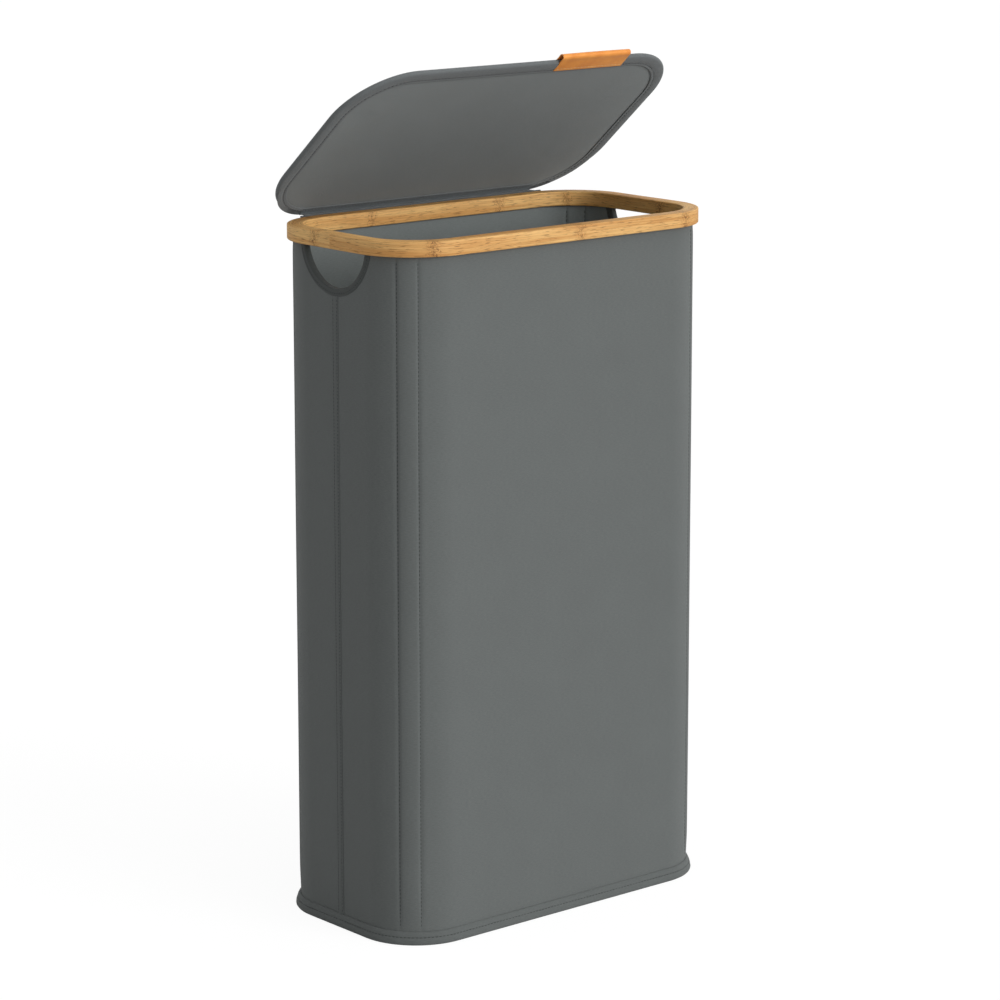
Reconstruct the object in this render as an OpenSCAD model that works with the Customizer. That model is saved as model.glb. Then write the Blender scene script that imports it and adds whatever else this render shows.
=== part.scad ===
// Tall slim laundry hamper: sewn fabric body on corner rods, bent bamboo rim, hinged stiff fabric lid.
// Millimetres, +Z up. Origin on the floor under the middle of the body. Front is -Y, the hinge is at +Y.

/* [Overall] */
// width over the bamboo rim, left to right
rim_w = 400; // [320:1:480]
// depth over the bamboo rim, front to back
rim_d = 215; // [180:1:300]
// height of the rim's top face above the floor
rim_top = 667; // [450:1:800]
// outer corner radius of the rim, seen from above
rim_r = 64; // [50:1:80]

/* [Bamboo rim] */
// height of the bamboo strip
rim_h = 14.5; // [12:0.5:24]
// thickness of the bamboo strip, from its outer to its inner face
rim_t = 15; // [13:0.5:22]
// rounding of the strip's long edges
rim_edge_r = 1.2; // [0.5:0.1:2.5]
// depth of the groove in the strip's underside that the wall is glued into
groove_depth = 6; // [4:0.5:8]
// depth of the blind hole above the groove for each rod's tip
rod_socket = 4; // [2:0.5:5]

/* [Fabric wall] */
// how far the rim stands out past the fabric
rim_overhang = 6; // [5:0.5:8]
// thickness of the outer fabric
fabric_t = 1; // [0.6:0.1:1.5]
// thickness of the stiffening boards inside the wall
board_t = 3; // [2:0.1:4]
// thickness of the lining
lining_t = 0.8; // [0.5:0.1:1.2]
// clearance on each face of a board or rod inside the wall
wall_fit = 0.1; // [0.05:0.05:0.3]
// width of the fold gap between neighbouring boards
fold_gap = 6; // [4:1:12]
// width of the felled seam that joins the front and rear panels at each side
seam_w = 9; // [6:0.5:14]
// how far the felled seam stands out
seam_t = 0.6; // [0.4:0.1:1]

/* [Corner rods] */
// diameter of the steel rod in each corner pocket
rod_d = 3; // [2:0.1:4]

/* [Hand holes] */
// radius of the half-moon hand hole under the rim at each end
hole_r = 45.5; // [35:0.5:55]
// depth of the hand hole's centre below the rim's top face
hole_drop = 6; // [2:0.5:12]
// how far the boards stop short of the hand hole's edge
board_margin = 2.5; // [1:0.5:6]
// width of the binding tape around the hand hole
binding_w = 7.5; // [5:0.5:12]
// thickness of the binding tape
binding_t = 0.6; // [0.4:0.1:1]

/* [Base] */
// height of the padded band around the foot
band_h = 12.5; // [9:0.5:20]
// how far the band's lower part stands out past the fabric
band_out = 5; // [3:0.5:8]
// how far the band's upper part stands out past the fabric
band_lip = 2; // [1:0.5:3]
// height of the band's lower, thicker part
band_low_h = 8; // [5:0.5:12]
// thickness of the stiff base board
base_board_t = 3; // [2:0.5:6]

/* [Lid] */
// how far the closed lid reaches past the rim at each side
lid_side_over = 0; // [-2:0.5:6]
// how far the closed lid's front edge lies behind the rim's front face
lid_front_in = 1; // [-4:0.5:3]
// how much larger the lid's corner radius is than the rim's
lid_r_more = 3; // [0:1:6]
// thickness of the lid
lid_t = 5; // [4:0.1:8]
// thickness of the fabric cover around the lid
cover_t = 1; // [0.6:0.1:1.5]
// thickness of the lid's lining
lid_lining_t = 0.6; // [0.4:0.1:1]
// width of the cover's hem on the lid's underside, at the front and sides
hem_w = 15; // [10:0.5:20]
// width of the hem at the back, beside the hinge
hem_back_w = 6; // [4:0.5:10]
// how far the lining is tucked under the hem
lining_tuck = 3; // [1:0.5:3]
// angle the lid stands open
lid_open = 40; // [0:1:90]
// gap between the closed lid and the rim
lid_gap = 0.8; // [0.6:0.1:2]

/* [Fabric hinge] */
// distance of the hinge line behind the rim's back face
hinge_back = 11.5; // [8:0.5:16]
// how far the strip on the rim's back face reaches past the rim's straight back, at each end
strip_over = 14; // [0:1:20]
// thickness of that strip
strip_t = 2.5; // [1.5:0.5:4]
// how far each end of the flap stops short of the strip's end
flap_in = 6; // [0:1:20]
// thickness of the flap
flap_t = 0.9; // [0.6:0.1:1.2]
// radius of the fabric roll on the hinge line
roll_r = 1.2; // [0.8:0.1:1.5]
// running clearance between the fixed flap and whatever moves past it
hinge_fit = 0.3; // [0.2:0.05:0.5]

/* [Pull tab] */
// width of the tab along the lid's front edge
tab_w = 85; // [50:1:120]
// distance from the tab's right end to where the lid's front corner begins to curve
tab_end_gap = 14.5; // [0:0.5:40]
// thickness of the tab's leather-look sheet
tab_t = 1; // [0.8:0.1:1.5]
// how far each leaf of the tab lies on the lid
tab_on = 12.5; // [8:0.5:20]
// how far the tab's fold reaches past the lid's front edge
tab_out = 8.5; // [6:0.5:14]
// how far each leaf is pressed into the cover
tab_sink = 0.5; // [0.3:0.1:0.7]

/* [Hidden] */
$fn = 96;
// overlap that lets a cut run past a face
cut = 5;

body_w = rim_w - 2 * rim_overhang;
body_d = rim_d - 2 * rim_overhang;
body_r = rim_r - rim_overhang;
// distances in from the fabric's outer face
cavity_in = fabric_t;
board_in = cavity_in + wall_fit;
lining_in = board_in + board_t + wall_fit;
wall_t = lining_in + lining_t;
rim_bottom = rim_top - rim_h;
wall_top = rim_bottom + groove_depth;
// the base board stands on the base fabric, the wall stands on the base board
board_top = fabric_t + base_board_t;
hole_z = rim_top - hole_drop;
hole_cut_r = hole_r + binding_t;
binding_r = hole_r + binding_w;
board_cut_r = hole_r + board_margin;
flat_half_w = body_w / 2 - body_r;
flat_half_d = body_d / 2 - body_r;
rod_in = board_in + rod_d / 2;
rod_mid_r = body_r - rod_in;
rod_x = flat_half_w + rod_mid_r * cos(45);
rod_y = flat_half_d + rod_mid_r * sin(45);
hinge_y = rim_d / 2 + hinge_back;
hinge_z = rim_top + lid_gap;
// the lid's back edge starts just in front of the fabric roll
lid_back = roll_r + hinge_fit;
lid_w = rim_w + 2 * lid_side_over;
lid_d = rim_d + hinge_back - lid_back - lid_front_in;
lid_r = rim_r + lid_r_more;
strip_w = rim_w - 2 * rim_r + 2 * strip_over;
flap_w = strip_w - 2 * flap_in;
tab_x = lid_w / 2 - lid_r - tab_end_gap - tab_w / 2;
lid_mid = lid_back + lid_d / 2;
flap_top = hinge_z - hinge_fit;
fabric_grey = [0.36, 0.38, 0.37];
lining_grey = [0.42, 0.42, 0.41];
board_grey = [0.25, 0.25, 0.25];
steel = [0.7, 0.7, 0.72];
bamboo = [0.85, 0.68, 0.42];
tan_leather = [0.8, 0.5, 0.24];

// rounded rectangle about the origin
module plate_2d(w, d, r) {
    square([w - 2 * r, d], center = true);
    square([w, d - 2 * r], center = true);
    for (sx = [-1, 1])
        for (sy = [-1, 1])
            translate([sx * (w / 2 - r), sy * (d / 2 - r)])
                circle(r = r);
}

// rounded plate between two heights
module plate(w, d, r, z0, z1) {
    translate([0, 0, z0])
        linear_extrude(height = z1 - z0)
            plate_2d(w, d, r);
}

// wall layer that lies between two distances in from the fabric's outer face
module layer(in0, in1, z0, z1) {
    translate([0, 0, z0])
        linear_extrude(height = z1 - z0)
            difference() {
                plate_2d(body_w - 2 * in0, body_d - 2 * in0, body_r - in0);
                plate_2d(body_w - 2 * in1, body_d - 2 * in1, body_r - in1);
            }
}

// half of the space, in front (side = -1) or behind (side = 1)
module half(side) {
    translate([0, side * rim_d / 2, rim_top / 2])
        cube([2 * rim_w, rim_d, 2 * rim_top], center = true);
}

// cylinder through both ends of the body at the hand holes' height
module hand_hole_bar(r) {
    translate([0, 0, hole_z])
        rotate([0, 90, 0])
            cylinder(r = r, h = 2 * rim_w, center = true);
}

// sweep a profile around a rounded rectangle; the profile's x is 0 at the outline and negative inwards
module around(w, d, r) {
    for (k = [0 : 3]) {
        reach = (k % 2 == 0) ? w / 2 : d / 2;
        straight = (k % 2 == 0) ? d - 2 * r : w - 2 * r;
        rotate([0, 0, 90 * k]) {
            rotate([90, 0, 0])
                linear_extrude(height = straight, center = true)
                    translate([reach, 0])
                        children();
            translate([reach - r, straight / 2, 0])
                rotate_extrude(angle = 90)
                    translate([r, 0])
                        children();
        }
    }
}

module bamboo_rim() {
    color(bamboo)
        difference() {
            translate([0, 0, rim_bottom + rim_h / 2])
                around(rim_w, rim_d, rim_r)
                    translate([-rim_t / 2, 0])
                        plate_2d(rim_t, rim_h, rim_edge_r);
            layer(-wall_fit, wall_t + wall_fit, rim_bottom - cut, wall_top);
            for (sx = [-1, 1])
                for (sy = [-1, 1])
                    translate([sx * rod_x, sy * rod_y, wall_top - cut])
                        cylinder(r = rod_d / 2 + wall_fit, h = rod_socket + cut);
        }
}

// one half of a fabric layer, cut out at the hand holes
module half_layer(side, in0, in1, z0, hole) {
    difference() {
        intersection() {
            layer(in0, in1, z0, wall_top);
            half(side);
        }
        hand_hole_bar(hole);
    }
}

module outer_fabric_front() {
    color(fabric_grey)
        half_layer(-1, 0, fabric_t, fabric_t, hole_cut_r);
}

module outer_fabric_rear() {
    color(fabric_grey)
        half_layer(1, 0, fabric_t, fabric_t, hole_cut_r);
}

module lining_front() {
    color(lining_grey)
        half_layer(-1, lining_in, wall_t, board_top, hole_cut_r);
}

module lining_rear() {
    color(lining_grey)
        half_layer(1, lining_in, wall_t, board_top, hole_cut_r);
}

// flat board in the front or rear wall
module long_board(side) {
    translate([0, side * (body_d / 2 - board_in - board_t / 2), (board_top + wall_top) / 2])
        cube([2 * flat_half_w - fold_gap, board_t, wall_top - board_top], center = true);
}

module front_board() {
    color(board_grey)
        long_board(-1);
}

module rear_board() {
    color(board_grey)
        long_board(1);
}

// narrow board in an end wall, between the middle fold and the corner, under the hand hole
module end_board(sx, sy) {
    board_w = flat_half_d - fold_gap;
    difference() {
        translate([sx * (body_w / 2 - board_in - board_t / 2), sy * (fold_gap / 2 + board_w / 2),
            (board_top + wall_top) / 2])
            cube([board_t, board_w, wall_top - board_top], center = true);
        hand_hole_bar(board_cut_r);
    }
}

module left_front_board() {
    color(board_grey)
        end_board(-1, -1);
}

module left_rear_board() {
    color(board_grey)
        end_board(-1, 1);
}

module right_front_board() {
    color(board_grey)
        end_board(1, -1);
}

module right_rear_board() {
    color(board_grey)
        end_board(1, 1);
}

// rod from the base board up into its blind hole in the rim
module rod(sx, sy) {
    translate([sx * rod_x, sy * rod_y, board_top])
        cylinder(r = rod_d / 2, h = wall_top + rod_socket - wall_fit - board_top);
}

module rod_front_left() {
    color(steel)
        rod(-1, -1);
}

module rod_front_right() {
    color(steel)
        rod(1, -1);
}

module rod_rear_left() {
    color(steel)
        rod(-1, 1);
}

module rod_rear_right() {
    color(steel)
        rod(1, 1);
}

// tape folded over the cut edge of the wall, with a leaf outside and a leaf inside
module hole_binding(sx) {
    difference() {
        intersection() {
            layer(-binding_t, wall_t + binding_t, hole_z - binding_r - cut, rim_bottom);
            hand_hole_bar(binding_r);
            translate([sx * rim_w / 2, 0, rim_top / 2])
                cube([rim_w / 2, rim_d, 2 * rim_top], center = true);
        }
        hand_hole_bar(hole_r);
        difference() {
            layer(0, wall_t, hole_z - binding_r - 2 * cut, rim_bottom + cut);
            hand_hole_bar(hole_cut_r);
        }
    }
}

module left_hole_binding() {
    color(fabric_grey)
        hole_binding(-1);
}

module right_hole_binding() {
    color(fabric_grey)
        hole_binding(1);
}

// folded seam that covers the join of the front and rear panels, from the band up to the binding
module side_seam(sx) {
    difference() {
        translate([sx * (body_w / 2 + seam_t / 2), 0, (band_h + hole_z) / 2])
            cube([seam_t, seam_w, hole_z - band_h], center = true);
        hand_hole_bar(binding_r);
    }
}

module left_seam() {
    color(fabric_grey)
        side_seam(-1);
}

module right_seam() {
    color(fabric_grey)
        side_seam(1);
}

module base_band() {
    color(fabric_grey)
        difference() {
            union() {
                plate(body_w + 2 * band_out, body_d + 2 * band_out, body_r + band_out, 0, band_low_h);
                plate(body_w + 2 * band_lip, body_d + 2 * band_lip, body_r + band_lip, 0, band_h);
            }
            plate(body_w, body_d, body_r, -cut, band_h + cut);
        }
}

module base_fabric() {
    color(fabric_grey)
        plate(body_w, body_d, body_r, 0, fabric_t);
}

module base_board() {
    color(board_grey)
        plate(body_w - 2 * board_in, body_d - 2 * board_in, body_r - board_in, fabric_t, board_top);
}

module base_lining() {
    color(lining_grey)
        plate(body_w - 2 * wall_t, body_d - 2 * wall_t, body_r - wall_t, board_top, board_top + lining_t);
}

// strip on the rim's back face, with a flap that reaches back to the hinge line
module hinge_strip() {
    color(fabric_grey)
        union() {
            translate([-strip_w / 2, rim_d / 2, rim_bottom])
                cube([strip_w, strip_t, flap_top - rim_bottom]);
            translate([-flap_w / 2, rim_d / 2, flap_top - flap_t])
                cube([flap_w, hinge_back - lid_back, flap_t]);
        }
}

// the lid is drawn closed with its hinge line at the origin, then opened and moved to the hinge
module on_hinge() {
    translate([0, hinge_y, hinge_z])
        rotate([-lid_open, 0, 0])
            children();
}

// rounded plate of the lid, smaller than its outline by inset
module lid_plate(inset, z0, z1) {
    translate([0, -lid_mid, 0])
        plate(lid_w - 2 * inset, lid_d - 2 * inset, lid_r - inset, z0, z1);
}

// the window in the underside of the cover that shows the lining, widened by grow
module hem_window(grow, z0, z1) {
    translate([0, (hem_w - hem_back_w) / 2 - lid_mid, 0])
        plate(lid_w - 2 * hem_w + 2 * grow, lid_d - hem_w - hem_back_w + 2 * grow,
            lid_r - hem_w + grow, z0, z1);
}

module lid_cover() {
    color(fabric_grey)
        on_hinge()
            difference() {
                union() {
                    lid_plate(lid_t / 2, 0, lid_t);
                    translate([0, -lid_mid, lid_t / 2])
                        around(lid_w, lid_d, lid_r)
                            translate([-lid_t / 2, 0])
                                intersection() {
                                    circle(r = lid_t / 2);
                                    translate([0, -lid_t / 2])
                                        square([lid_t / 2, lid_t]);
                                }
                }
                lid_plate(lid_t / 2, cover_t, lid_t - cover_t);
                hem_window(0, -cut, cover_t + lid_lining_t);
                tab_leaf(-cut, tab_sink);
                tab_leaf(lid_t - tab_sink, lid_t + cut);
            }
}

module lid_board() {
    color(board_grey)
        on_hinge()
            lid_plate(lid_t / 2, cover_t + lid_lining_t, lid_t - cover_t);
}

module lid_lining() {
    color(lining_grey)
        on_hinge()
            hem_window(lining_tuck, cover_t, cover_t + lid_lining_t);
}

// fabric roll on the hinge line, with a web that is sewn against the lid's rounded back edge
module hinge_flap() {
    color(fabric_grey)
        on_hinge()
            difference() {
                union() {
                    rotate([0, 90, 0])
                        cylinder(r = roll_r, h = flap_w, center = true);
                    translate([-flap_w / 2, -lid_back - lid_t / 2, 0])
                        cube([flap_w, lid_back + lid_t / 2, cover_t]);
                }
                translate([0, -lid_back - lid_t / 2, lid_t / 2])
                    rotate([0, 90, 0])
                        cylinder(r = lid_t / 2, h = flap_w + 2 * cut, center = true);
            }
}

// slab that one leaf of the tab fills, between two heights
module tab_leaf(z0, z1) {
    translate([tab_x - tab_w / 2, -lid_back - lid_d - cut, z0])
        cube([tab_w, tab_on + cut, z1 - z0]);
}

// sheet folded over the lid's front edge, with a leaf on each face and a hollow fold in front
module pull_tab() {
    front_y = -lid_back - lid_d;
    fold_r = lid_t / 2 + tab_t - tab_sink;
    fold_y = front_y - tab_out + fold_r;
    color(tan_leather)
        on_hinge()
            difference() {
                union() {
                    translate([tab_x - tab_w / 2, fold_y, tab_sink - tab_t])
                        cube([tab_w, front_y + tab_on - fold_y, 2 * fold_r]);
                    translate([tab_x, fold_y, lid_t / 2])
                        rotate([0, 90, 0])
                            cylinder(r = fold_r, h = tab_w, center = true);
                }
                translate([tab_x - tab_w / 2 - cut, fold_y, tab_sink])
                    cube([tab_w + 2 * cut, front_y + tab_on - fold_y + cut, lid_t - 2 * tab_sink]);
                translate([tab_x, fold_y, lid_t / 2])
                    rotate([0, 90, 0])
                        cylinder(r = fold_r - tab_t, h = tab_w + 2 * cut, center = true);
            }
}

bamboo_rim();
outer_fabric_front();
outer_fabric_rear();
lining_front();
lining_rear();
front_board();
rear_board();
left_front_board();
left_rear_board();
right_front_board();
right_rear_board();
rod_front_left();
rod_front_right();
rod_rear_left();
rod_rear_right();
left_hole_binding();
right_hole_binding();
left_seam();
right_seam();
base_band();
base_fabric();
base_board();
base_lining();
hinge_strip();
lid_board();
lid_cover();
lid_lining();
hinge_flap();
pull_tab();
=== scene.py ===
"""Looks of the laundry hamper with lid. Every visible piece is modelled here in the CAD's own frame.

Lengths in the modelling code are millimetres, as in the CAD; they become metres when a mesh is built.
"""

import math
import random

import bmesh
import bpy
import numpy as np
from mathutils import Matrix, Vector


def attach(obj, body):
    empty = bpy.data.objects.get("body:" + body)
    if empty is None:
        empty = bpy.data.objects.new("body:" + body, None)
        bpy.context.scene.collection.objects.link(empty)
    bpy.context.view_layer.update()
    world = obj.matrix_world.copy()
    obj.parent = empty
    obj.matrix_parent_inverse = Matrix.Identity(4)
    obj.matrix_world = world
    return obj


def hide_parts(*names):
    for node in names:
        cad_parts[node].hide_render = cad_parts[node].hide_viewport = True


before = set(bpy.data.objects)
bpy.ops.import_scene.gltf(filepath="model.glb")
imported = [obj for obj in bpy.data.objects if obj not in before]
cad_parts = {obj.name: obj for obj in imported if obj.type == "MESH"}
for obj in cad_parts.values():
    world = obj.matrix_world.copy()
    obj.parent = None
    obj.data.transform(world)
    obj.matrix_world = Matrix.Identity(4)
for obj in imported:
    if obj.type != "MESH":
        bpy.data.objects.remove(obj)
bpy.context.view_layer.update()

MM = 0.001

# bamboo rim: size over all, corner radius, heights and section
RIM_W, RIM_D, RIM_R = 400.0, 215.0, 64.0
RIM_T, RIM_TOP, RIM_BOTTOM, RIM_EDGE = 15.0, 667.0, 652.5, 1.2
# half sizes of the rectangle that every layer's corner arcs turn about
CORE_X, CORE_Y = RIM_W / 2 - RIM_R, RIM_D / 2 - RIM_R

# wall: corner radii of each layer's faces, and the height it ends at inside the rim's groove
BODY_R = RIM_R - 6.0
CLOTH_T, LINING_T = 1.0, 0.8
LINING_IN_R = BODY_R - 5.0
LINING_OUT_R = LINING_IN_R + LINING_T
WALL_TOP = RIM_BOTTOM + 5.9
CLOTH_FOOT, LINING_FOOT = 1.0, 4.85
POCKET = 10.0  # half width of a corner's rod pocket
BAND_TOP = 12.5

# hand holes: centre height, clear radius, radius of the cut cloth and outer radius of the tape
HOLE_Z, HOLE_R = RIM_TOP - 6.0, 45.5
HOLE_CUT_R, BINDING_R = HOLE_R + 0.6, HOLE_R + 7.5

# lid: hinge line, angle, thickness, and the corner centres of its outline and of its window
HINGE_Y, HINGE_Z, LID_OPEN = RIM_D / 2 + 11.5, RIM_TOP + 0.8, math.radians(40)
LID_R, LID_T, LID_EDGE_R = 67.0, 5.0, 2.5
LID_CORE_X, LID_CORE_LOW, LID_CORE_HIGH = 133.0, 68.5, 158.5
WINDOW_LOW = 59.5
TAB_LEFT, TAB_RIGHT = 33.5, 118.5

QUARTER = math.pi / 2 * BODY_R
TURNS = np.cumsum(
    [CORE_Y, QUARTER, 2 * CORE_X, QUARTER, 2 * CORE_Y, QUARTER, 2 * CORE_X, QUARTER, CORE_Y]
)
ROUND = float(TURNS[-1])
HALF = ROUND / 2
CORNERS = [float(TURNS[k] + QUARTER / 2) for k in (0, 2, 4, 6)]


# ---------------------------------------------------------------- outlines


def ring(s, r):
    """(points, outward normals) in plan at arc lengths s along the body's outer face, r outside the
    corners' centres. s starts at the left side's middle and runs to the front."""
    s = np.asarray(s, float) % ROUND
    starts = np.concatenate([[0.0], TURNS[:-1]])
    k = np.clip(np.searchsorted(TURNS, s, side="right"), 0, 8)
    t = s - starts[k]
    quarter_turns = k // 2 + np.where(k % 2 == 1, t / QUARTER, 0.0)
    angle = math.pi + quarter_turns * math.pi / 2
    x0 = np.array([-1, -1, -1, 1, 1, 1, 1, -1, -1]) * CORE_X
    y0 = np.array([0, -1, -1, -1, -1, 1, 1, 1, 1]) * CORE_Y
    dx = np.array([0, 0, 1, 0, 0, 0, -1, 0, 0])
    dy = np.array([-1, 0, 0, 0, 1, 0, 0, 0, -1])
    normal = np.stack([np.cos(angle), np.sin(angle)], -1)
    core = np.stack([x0[k] + dx[k] * t, y0[k] + dy[k] * t], -1)
    return core + np.asarray(r, float)[..., None] * normal, normal


def stations(low, high, coarse, fine, spots, reach):
    """Arc lengths from low to high, close together near the spots."""
    far = np.linspace(low, high, int(round((high - low) / coarse)) + 1)
    near = [np.arange(p - reach, p + reach + fine / 2, fine) for p in spots]
    near = np.concatenate(near) if near else np.zeros(0)
    near = near[(near > low + fine / 2) & (near < high - fine / 2)]
    if len(near):
        lonely = np.abs(far[:, None] - near[None, :]).min(1) > 0.6 * fine
        lonely[[0, -1]] = True
        far = far[lonely]
    return np.unique(np.round(np.concatenate([far, near]), 4))


def waves(u, v, size, seed, count=6):
    """Smooth unevenness from -1 to 1 whose humps are about size apart."""
    rng = random.Random(seed)
    total = 0.0
    for _ in range(count):
        a, p = rng.uniform(0, math.pi), rng.uniform(0, 2 * math.pi)
        wide = size * rng.uniform(0.7, 1.5)
        total = total + np.sin(2 * math.pi * (u * math.cos(a) + v * math.sin(a)) / wide + p)
    return total / count * 1.4


def lid_point(x, v, w):
    """Place on the open lid: v is the distance in front of the hinge line, w the height in the lid."""
    x, v, w = np.broadcast_arrays(np.asarray(x, float), v, w)
    c, s = math.cos(LID_OPEN), math.sin(LID_OPEN)
    return np.stack([x, HINGE_Y - v * c + w * s, HINGE_Z + v * s + w * c], -1)


# ---------------------------------------------------------------- meshes


class Surface:
    """Quads gathered from grids of points, with texture coordinates along the material."""

    def __init__(self):
        self.points, self.quads, self.uv, self.slots = [], [], [], []
        self.count = 0

    def grid(self, points, uv, wrap_i=False, wrap_j=False, slot=0):
        ni, nj = points.shape[:2]
        i, j = np.meshgrid(
            np.arange(ni if wrap_i else ni - 1),
            np.arange(nj if wrap_j else nj - 1),
            indexing="ij",
        )
        i, j = i.ravel(), j.ravel()
        around = [(i, j), (i + 1, j), (i + 1, j + 1), (i, j + 1)]
        self.quads.append(np.stack([self.count + (a % ni) * nj + b % nj for a, b in around], 1))
        self.uv.append(np.stack([uv[a, b] for a, b in around], 1))
        self.slots.append(np.full(len(i), slot))
        self.points.append(points.reshape(-1, 3))
        self.count += ni * nj

    def skin(self, outside, inside, uv):
        """A closed skin between two grids that run the same way."""
        points = np.concatenate([outside, inside[:, ::-1]], 1)
        both = np.concatenate([uv, uv[:, ::-1], uv[:, :1]], 1)
        self.grid(points, both, wrap_j=True)
        for end in (0, -1):
            self.grid(np.stack([outside[end], inside[end]]), np.stack([uv[end], uv[end] + 1.0]))

    def build(self, name, materials, body, sharp=42):
        mesh = bpy.data.meshes.new(name)
        mesh.from_pydata((np.concatenate(self.points) * MM).tolist(), [],
                         np.concatenate(self.quads).tolist())
        layer = mesh.uv_layers.new(name="UVMap")
        layer.uv.foreach_set("vector", (np.concatenate(self.uv) * MM).astype(np.float32).ravel())
        mesh.polygons.foreach_set("material_index", np.concatenate(self.slots).astype(np.int32))
        bm = bmesh.new()
        bm.from_mesh(mesh)
        bmesh.ops.remove_doubles(bm, verts=bm.verts, dist=2e-6)
        bmesh.ops.dissolve_degenerate(bm, dist=1e-6, edges=bm.edges)
        bmesh.ops.recalc_face_normals(bm, faces=bm.faces)
        bm.to_mesh(mesh)
        bm.free()
        mesh.polygons.foreach_set("use_smooth", [True] * len(mesh.polygons))
        mesh.set_sharp_from_angle(angle=math.radians(sharp))
        for material in materials:
            mesh.materials.append(material)
        made = bpy.data.objects.new(name, mesh)
        bpy.context.scene.collection.objects.link(made)
        if body:
            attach(made, body)
        return made


def across(a, b):
    """Texture coordinates of a grid from its two coordinates."""
    return np.stack(np.broadcast_arrays(a, b), -1).astype(float)


def section_run(section):
    """Distance along a closed section to each of its points, and round to the first again."""
    steps = np.linalg.norm(np.diff(section, axis=0), axis=1)
    run = np.concatenate([[0], np.cumsum(steps)])
    return np.append(run, run[-1] + np.linalg.norm(section[0] - section[-1]))


def stitches(name, runs, material, body, pitch=3.8, length=2.7, radius=0.28, lift=0.0):
    """Threads along each run of (points, normals), dipping into the cloth at their ends."""
    surface = Surface()
    t = np.array([-1.0, -0.75, -0.3, 0.3, 0.75, 1.0])
    fat = np.array([0.0, 0.75, 1.0, 1.0, 0.75, 0.0])
    turn = np.linspace(0, 2 * math.pi, 6, endpoint=False)
    for points, normals in runs:
        steps = np.linalg.norm(np.diff(points, axis=0), axis=1)
        along = np.concatenate([[0], np.cumsum(steps)])
        number = int(along[-1] // pitch)
        first = (along[-1] - (number - 1) * pitch) / 2
        for k in range(number):
            d = first + k * pitch + t * length / 2
            centre = np.stack([np.interp(d, along, points[:, c]) for c in range(3)], -1)
            up = np.array([np.interp(d[2], along, normals[:, c]) for c in range(3)])
            up /= np.linalg.norm(up)
            way = centre[-1] - centre[0]
            side = np.cross(way, up)
            side /= np.linalg.norm(side)
            high = lift + radius * (0.45 - 0.95 * t**2)
            ringed = (
                centre[:, None]
                + (radius * fat)[:, None, None]
                * (np.cos(turn)[None, :, None] * side + np.sin(turn)[None, :, None] * up)
                + high[:, None, None] * up
            )
            uv = across(d[:, None], np.linspace(0, 1.5, 7)[None, :])
            surface.grid(ringed, uv, wrap_j=True)
    return surface.build(name, [material], body)


# ---------------------------------------------------------------- materials


def srgb(r, g, b):
    return tuple(
        (c / 255 / 12.92) if c <= 10 else (((c / 255) + 0.055) / 1.055) ** 2.4 for c in (r, g, b)
    ) + (1.0,)


class Nodes:
    """Small helper for building a material's nodes."""

    def __init__(self, name):
        self.material = bpy.data.materials.new(name)
        self.material.use_nodes = True
        self.tree = self.material.node_tree
        self.tree.nodes.clear()

    def add(self, kind, inputs=None, **settings):
        node = self.tree.nodes.new(kind)
        for key, value in settings.items():
            setattr(node, key, value)
        for key, value in (inputs or {}).items():
            self.put(node.inputs[key], value)
        return node

    def put(self, socket, value):
        if isinstance(value, bpy.types.NodeSocket):
            self.tree.links.new(value, socket)
        else:
            socket.default_value = value

    def math(self, operation, a, b=0.0, c=0.0):
        node = self.add("ShaderNodeMath", operation=operation)
        for socket, value in zip(node.inputs, (a, b, c)):
            self.put(socket, value)
        return node.outputs[0]

    def ramp(self, value, low, high, out_low=0.0, out_high=1.0):
        node = self.add(
            "ShaderNodeMapRange",
            {"Value": value, "From Min": low, "From Max": high, "To Min": out_low, "To Max": out_high},
            interpolation_type="SMOOTHSTEP",
        )
        return node.outputs["Result"]

    def mix(self, factor, a, b, blend="MIX"):
        node = self.add("ShaderNodeMix", data_type="RGBA", blend_type=blend)
        self.put(node.inputs[0], factor)
        self.put(node.inputs[6], a)
        self.put(node.inputs[7], b)
        return node.outputs[2]

    def place(self, uv=True):
        node = self.add("ShaderNodeTexCoord")
        return node.outputs["UV" if uv else "Object"]

    def stretch(self, vector, x, y, z=1.0):
        node = self.add("ShaderNodeMapping", {"Vector": vector})
        node.inputs["Scale"].default_value = (x, y, z)
        return node.outputs["Vector"]

    def noise(self, vector, scale, detail=2.0, rough=0.5, distort=0.0):
        node = self.add(
            "ShaderNodeTexNoise",
            {"Vector": vector, "Scale": scale, "Detail": detail, "Roughness": rough,
             "Distortion": distort},
        )
        return node.outputs["Fac"]

    def parts(self, vector):
        return self.add("ShaderNodeSeparateXYZ", {"Vector": vector}).outputs

    def bump(self, height, distance, strength=1.0, normal=None):
        node = self.add(
            "ShaderNodeBump", {"Height": height, "Distance": distance, "Strength": strength}
        )
        if normal is not None:
            self.put(node.inputs["Normal"], normal)
        return node.outputs["Normal"]

    def finish(self, colour, roughness, normal=None, **more):
        shader = self.add("ShaderNodeBsdfPrincipled", {"Base Color": colour, "Roughness": roughness})
        for key, value in more.items():
            self.put(shader.inputs[key.replace("_", " ")], value)
        if normal is not None:
            self.put(shader.inputs["Normal"], normal)
        out = self.add("ShaderNodeOutputMaterial")
        self.tree.links.new(shader.outputs[0], out.inputs[0])
        return self.material


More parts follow.
